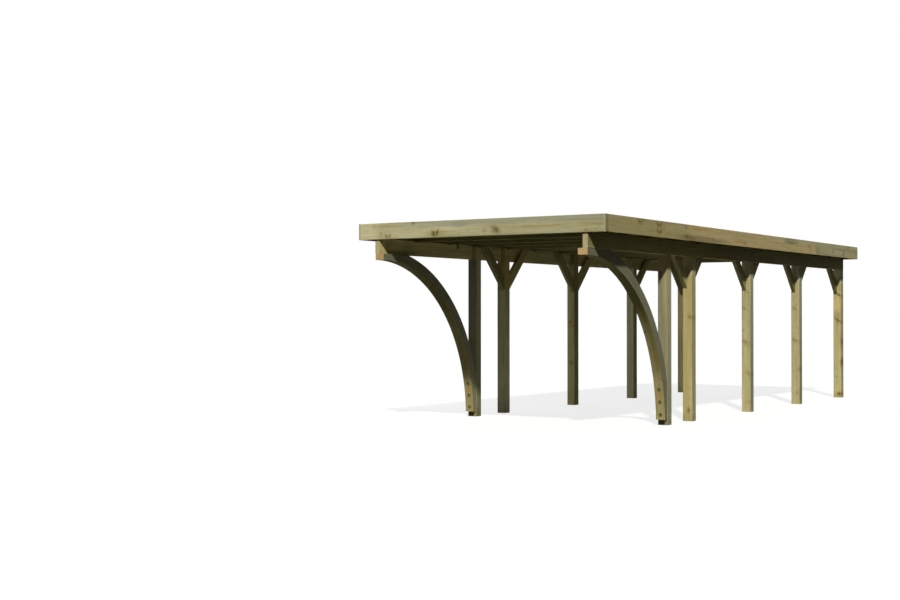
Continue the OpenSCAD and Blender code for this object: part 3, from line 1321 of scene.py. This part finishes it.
@dataclass
class Fixings:
    """Screws of the edge boards and knee braces, and the bolts that hold the purlins to the posts."""

    steel: bpy.types.Material
    screw: float = 0.0046
    screw_proud: float = 0.0003
    screw_sunk: float = 0.002
    drive_sunk: float = 0.0012
    screw_rise: float = 0.032
    front_screws: int = 8
    front_inset: float = 0.1
    bolt_rises: tuple[float, float] = (0.050, 0.120)
    bolt_offset: float = 0.024
    dome: float = 0.0125
    dome_curve: tuple[Span, ...] = ((1.0, 0.0), (0.96, 0.0018), (0.78, 0.0042), (0.48, 0.0058), (0.0, 0.0064))
    knee_leg: float = 0.378
    knee_width: float = 0.120
    knee_rise: float = 0.075
    knee_pair: tuple[float, float] = (-0.026, 0.026)
    knee_foot: tuple[float, float] = (0.040, 0.085)

    def build(self) -> None:
        """Makes every screw and bolt as three pieces."""
        head = self._screw_head()
        head.placed(*self._edge_screws()).piece("edge_board_screws", self.steel)
        head.placed(*self._knee_screws()).piece("knee_screws", self.steel)
        self._post_bolts().piece("post_bolts", self.steel)

    def _screw_head(self) -> Solid:
        """Makes a countersunk head with a sunk drive: an outline turned about its axis, almost flush.

        Returns:
            The head, along Z.
        """
        r, low, high, drive = self.screw, -self.screw_sunk, self.screw_proud, -self.drive_sunk
        outline = [(0, low), (r, low), (r, high), (r * 0.5, high), (r * 0.4, drive), (0, drive)]
        return Solid.revolved(outline, 10)

    def _edge_screws(self) -> tuple[np.ndarray, np.ndarray]:
        """Lays out two screws at each rafter end and pairs along the front and rear boards.

        Returns:
            Places and directions.
        """
        low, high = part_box("rafters")
        board_low, board_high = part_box("front_board")
        left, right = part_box("left_board")[0].x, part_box("right_board")[1].x
        front, rear = board_low.y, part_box("rear_board")[1].y
        z = (low.z + high.z) / 2 + np.array((-self.screw_rise, self.screw_rise))
        y = np.linspace(low.y + RAFTER_WIDTH / 2, high.y - RAFTER_WIDTH / 2, RAFTER_COUNT)
        x = np.linspace(board_low.x + self.front_inset, board_high.x - self.front_inset, self.front_screws)
        faces = ((0, left, -1.0, y), (0, right, 1.0, y), (1, front, -1.0, x), (1, rear, 1.0, x))
        rows, axes = [], []
        for axis, face, way, run in faces:
            along, up = (a.ravel() for a in np.meshgrid(run, z))
            spots = np.stack((along, along, up), axis=1)
            spots[:, axis] = face
            ways = np.zeros_like(spots)
            ways[:, axis] = way
            rows.append(spots)
            axes.append(ways)
        return np.concatenate(rows), np.concatenate(axes)

    def _knee_screws(self) -> tuple[np.ndarray, np.ndarray]:
        """Lays out two screws through each knee's inner face into the purlin, and two at its foot.

        Returns:
            Places and directions.
        """
        rows, axes = [], []
        top = self.knee_leg - self.knee_width * SLANT + self.knee_rise
        for side, way in SIDES.items():
            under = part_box(f"{side}_purlin")[0].z
            for knee in KNEES:
                low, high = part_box(f"{side}_knee_{knee}")
                post_low, post_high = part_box(f"{side}_post_{knee[0]}")
                back = 1.0 if knee.endswith("rear") else -1.0
                face = post_high.y if back > 0 else post_low.y
                inner = low.x if way > 0 else high.x
                mid = (low.x + high.x) / 2
                rows += [(inner, face + back * (top + s), under + self.knee_rise + s) for s in self.knee_pair]
                axes += [(-way, 0.0, 0.0)] * 2
                rows += [(mid, face + back * s, under - self.knee_leg + s) for s in self.knee_foot]
                axes += [(0.0, back * SLANT, -SLANT)] * 2
        return np.array(rows), np.array(axes)

    def _post_bolts(self) -> Solid:
        """Makes two round-headed bolts at each post: an outline turned about its axis, on the purlin.

        Returns:
            All the bolts.
        """
        outline = [(0, 0), *((self.dome * share, rise) for share, rise in self.dome_curve)]
        spots, axes = [], []
        for side, way in SIDES.items():
            purlin_low, purlin_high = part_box(f"{side}_purlin")
            outer = purlin_high.x if way > 0 else purlin_low.x
            for post in POSTS:
                y = middle(f"{side}_{post}")[1]
                for offset, rise in zip((-self.bolt_offset, self.bolt_offset), self.bolt_rises):
                    spots.append((outer, y + offset, purlin_low.z + rise))
                    axes.append((way, 0.0, 0.0))
        return Solid.revolved(outline, 20).placed(np.array(spots), np.array(axes))


@dataclass
class RoofBoarding:
    """Tongued boards on the rafters, in place of the plain slab."""

    cover: float = 0.121
    gap: float = 0.0015
    chamfer: float = 0.0035
    joint_rafters: tuple[int, ...] = (6, 4, 8)
    finish_seed: float = 120.0
    pith: tuple[float, float] = (-0.05, 0.03)
    shift_seed: int = 7
    shift_along: float = 9.0
    shift_across: float = 0.02

    def build(self) -> bpy.types.Object:
        """Makes the boards: a V-jointed outline carried along the roof, in two lengths that meet on a rafter.

        Returns:
            The piece.
        """
        low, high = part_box("roof_boarding")
        count = round((high.x - low.x) / self.cover)
        width = (high.x - low.x) / count
        w, t, c = width - self.gap, high.z - low.z, self.chamfer
        outline = [(0, c), (c, 0), (w - c, 0), (w, c), (w, t), (0, t)]
        run = high.y - low.y
        parts = []
        for number, rafter in enumerate(self.joint_rafters):
            xs = low.x + np.arange(number, count, len(self.joint_rafters)) * width
            meet = RAFTER_WIDTH / 2 + rafter / (RAFTER_COUNT - 1) * (run - RAFTER_WIDTH)
            for y, length in ((low.y, meet - self.gap), (low.y + meet, run - meet)):
                spots = np.stack((xs, np.full_like(xs, y), np.full_like(xs, low.z)), axis=1)
                parts.append(Solid.prism(outline, length).placed(spots))
        own = {"seed": self.finish_seed, "pith": self.pith, "board_shift": "board_shift"}
        finish = TimberFinish(Batch.ROOF, Grain.BACK, middle("roof_boarding"), **own)
        made = parts[0].joined(*parts[1:]).piece("roof_boards", finish.material("roof_board_pine"))
        self._shift_patterns(made.data, 2 * len(outline))
        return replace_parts(made, "roof_boarding")

    def _shift_patterns(self, mesh: bpy.types.Mesh, corners: int) -> None:
        """Stores a random shift for each board, so that no two show the same timber.

        Args:
            mesh: The boards' mesh.
            corners: How many points each board has.
        """
        boards = len(mesh.vertices) // corners
        spread = self.shift_along
        shift = np.random.default_rng(self.shift_seed).uniform(-spread, spread, (boards, 3))
        shift[:, :2] = shift[:, :2] * self.shift_across
        data = mesh.attributes.new("board_shift", "FLOAT_VECTOR", "POINT").data
        data.foreach_set("vector", np.repeat(shift, corners, axis=0).ravel())


@dataclass
class RoofFelt:
    """Roofing felt in strips across the roof, each lapped over the next one, turned up at the edges."""

    strip: float = 0.92
    lap: float = 0.0035
    lap_run: float = 0.001
    thickness: float = 0.004
    columns: int = 33
    inset: float = 0.1

    def build(self) -> bpy.types.Object:
        """Makes the felt as a height over the roof's X and Y.

        The height is the felt's thickness, plus a share of the lap that grows along each strip and drops at
        its end, plus a slope of 45 degrees within the upstand's height of an edge board.

        Returns:
            The piece.
        """
        low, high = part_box("roof_felt")
        across, run = high.x - low.x, high.y - low.y
        rise = high.z - low.z - self.thickness
        field_x = np.linspace(self.inset, across - self.inset, self.columns)
        x = np.concatenate(([0.0, rise], field_x, [across - rise, across]))
        laps = np.arange(self.strip, run - self.inset, self.strip)
        y = np.concatenate(([0.0, rise], laps - self.lap_run, laps, laps - self.strip / 2, [run - rise, run]))
        gx, gy = np.meshgrid(x + low.x, np.sort(y) + low.y, indexing="ij")
        share = ((gy - low.y) / self.strip) % 1.0
        edge = np.minimum(np.minimum(gx - low.x, high.x - gx), np.minimum(gy - low.y, high.y - gy))
        gz = low.z + self.thickness + self.lap * share + np.clip(rise - edge, 0.0, None)
        top = np.stack((gx, gy, np.minimum(gz, high.z)), axis=2)
        bottom = np.stack((gx, gy, np.full_like(gx, low.z)), axis=2)
        rows, columns = gx.shape
        count = rows * columns
        faces = grid_faces(rows, columns)
        number = np.arange(count).reshape(rows, columns)
        rim = np.concatenate((number[0], number[1:, -1], number[-1, -2::-1], number[-2:0:-1, 0]))
        after = np.roll(rim, -1)
        walls = np.stack((rim, after, after + count, rim + count), axis=1)
        points = np.concatenate((top.reshape(-1, 3), bottom.reshape(-1, 3)))
        made = Solid(points, (faces[:, ::-1], faces + count, walls))
        piece = made.piece("felt_strips", FeltFinish().material("roofing_felt"))
        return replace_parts(piece, "roof_felt")


@dataclass
class Stage:
    """Plain floor, light from the front right, and the camera of the photograph."""

    camera_place: Vec = (8.024, -17.181, 1.2695)
    camera_yaw: float = math.radians(32.958)
    camera_pitch: float = math.radians(0.612)
    lens: float = 56.0
    sensor: float = 36.0
    sight: float = 500.0
    light_place: Vec = (6.0, -10.0, 9.0)
    light_from: Vec = (0.397, -0.685, 0.611)
    light: float = 4.45
    light_width: float = math.radians(2.2)
    light_colour: Colour = (1.0, 0.965, 0.90)
    fill_right: Colour = (0.036, 0.034, 0.020)
    fill_front: Colour = (0.175, 0.185, 0.200)
    fill_back: Colour = (1.30, 1.24, 1.10)
    fill_high: Colour = (0.24, 0.285, 0.32)
    fill_way: tuple[float, float] = (-0.6, 0.8)
    front_turn: Span = (-0.6, 0.6)
    back_turn: Span = (0.50, 0.90)
    high_turn: Span = (0.30, 0.95)
    floor_half: float = 300.0
    floor_drop: float = 0.001
    floor_dim: Colour = (0.040, 0.040, 0.030)
    floor_inner: Colour = (0.62, 0.62, 0.57)
    inner_x: Span = (1.6, 1.2)
    inner_y: Span = (4.8, 4.0)
    low_place: Vec = (-4.5, -1.0, 0.35)
    low_way: Vec = (0.66, 0.74, 0.09)
    low_light: float = 60.0
    low_colour: Colour = (0.95, 1.0, 0.97)
    low_width: float = 2.0
    glow: float = 0.80

    def build(self) -> None:
        """Makes the floor, the lamps, the surrounding light and the camera."""
        self._floor()
        self._lamp()
        self._low_lamp()
        self._surround()
        self._camera()

    def _seen(self, g: Graph) -> Socket:
        """Is 1 for the camera and for reflections, and 0 for light that spreads."""
        path = g.node("ShaderNodeLightPath", {}, {}, "Is Camera Ray")
        return (path + path.other("Is Glossy Ray") + path.other("Is Transmission Ray")).math("MINIMUM", 1.0)

    def _floor(self) -> None:
        """Lays a flat sheet just under the post feet: white to the camera, and throwing back little light."""
        h, z = self.floor_half, -self.floor_drop
        mesh = bpy.data.meshes.new("floor")
        mesh.from_pydata([(-h, -h, z), (h, -h, z), (h, h, z), (-h, h, z)], [], [(0, 1, 2, 3)])
        material, g = new_graph("pale_floor")
        x = g.split(g.place())
        under = abs(x).step(*self.inner_x) * abs(x.other("Y")).step(*self.inner_y)
        tones = (self.floor_dim, self.floor_inner, WHITE)
        outer, inner, lit = (g.node("ShaderNodeBsdfDiffuse", {}, {"Color": tone}) for tone in tones)
        pale = g.blend(self.glow, lit, g.node("ShaderNodeEmission", {}, {"Strength": 1.0}))
        shown = g.blend(self._seen(g), g.blend(under, outer, inner), pale)
        g.node("ShaderNodeOutputMaterial", {}, {"Surface": shown})
        mesh.materials.append(material)
        floor = bpy.data.objects.new("floor", mesh)
        bpy.context.scene.collection.objects.link(floor)

    def _lamp(self) -> None:
        """Hangs one lamp far off, in the direction that the photograph is lit from."""
        lamp = bpy.data.lights.new("key", "SUN")
        lamp.energy = self.light
        lamp.angle = self.light_width
        lamp.color = self.light_colour
        aimed(lamp, self.light_place, -np.array(self.light_from))

    def _low_lamp(self) -> None:
        """Sets a weak, wide lamp low on the left, for light that comes up to the posts there."""
        lamp = bpy.data.lights.new("low_fill", "AREA")
        lamp.energy = self.low_light
        lamp.color = self.low_colour
        lamp.size = self.low_width
        made = aimed(lamp, self.low_place, np.array(self.low_way))
        made.visible_camera = False
        made.visible_glossy = False

    def _surround(self) -> None:
        """Fills the shade by direction, lightest at the rear left, and shows white behind the carport."""
        world = bpy.data.worlds.new("surround")
        world.use_nodes = True
        bpy.context.scene.world = world
        g = Graph(world.node_tree)
        x = g.split(g.place("Generated"))
        left, rear = x * self.fill_way[0], x.other("Y") * self.fill_way[1]
        tones = (self.fill_right, self.fill_front, self.fill_back, self.fill_high, WHITE)
        glows = (g.node("ShaderNodeBackground", {}, {"Color": tone}) for tone in tones)
        right, front, back, high, white = glows
        low = g.blend((left - rear).step(*self.front_turn), right, front)
        low = g.blend((left + rear).step(*self.back_turn), low, back)
        soft = g.blend(x.other("Z").step(*self.high_turn), low, high)
        g.node("ShaderNodeOutputWorld", {}, {"Surface": g.blend(self._seen(g), soft, white)})

    def _camera(self) -> None:
        """Sets the camera where the photograph was taken from."""
        camera = bpy.data.cameras.new("camera")
        camera.lens = self.lens
        camera.sensor_width = self.sensor
        camera.clip_end = self.sight
        yaw, pitch = self.camera_yaw, self.camera_pitch
        forward = (-math.sin(yaw) * math.cos(pitch), math.cos(yaw) * math.cos(pitch), math.sin(pitch))
        scene = bpy.context.scene
        scene.camera = aimed(camera, self.camera_place, np.array(forward))
        scene.view_settings.view_transform = "Standard"


def aimed(data: bpy.types.Light | bpy.types.Camera, place: Vec, way: np.ndarray) -> bpy.types.Object:
    """Puts a lamp or camera into the scene so that it looks along a direction, with its top upwards.

    Args:
        data: The lamp or camera.
        place: Where it is.
        way: The direction it looks in.

    Returns:
        The object, with the name of its data.
    """
    forward = way / np.linalg.norm(way)
    right = np.cross(forward, (0.0, 0.0, 1.0))
    right /= np.linalg.norm(right)
    turn = np.eye(4)
    turn[:3] = np.stack((right, np.cross(right, forward), -forward, np.array(place)), axis=1)
    made = bpy.data.objects.new(data.name, data)
    made.matrix_world = Matrix(turn.tolist())
    bpy.context.scene.collection.objects.link(made)
    return made


def main() -> None:
    """Dresses the packed carport and sets the stage."""
    logging.basicConfig(level=logging.INFO, format="%(name)s: %(message)s")
    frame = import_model()
    nodes = frame["nodes"]
    steel = SteelFinish().material("zinc_steel")
    TimberFrame(nodes).dress()
    Arches(nodes, steel).dress()
    Fixings(steel).build()
    RoofBoarding().build()
    RoofFelt().build()
    Stage().build()


if __name__ == "__main__":
    main()
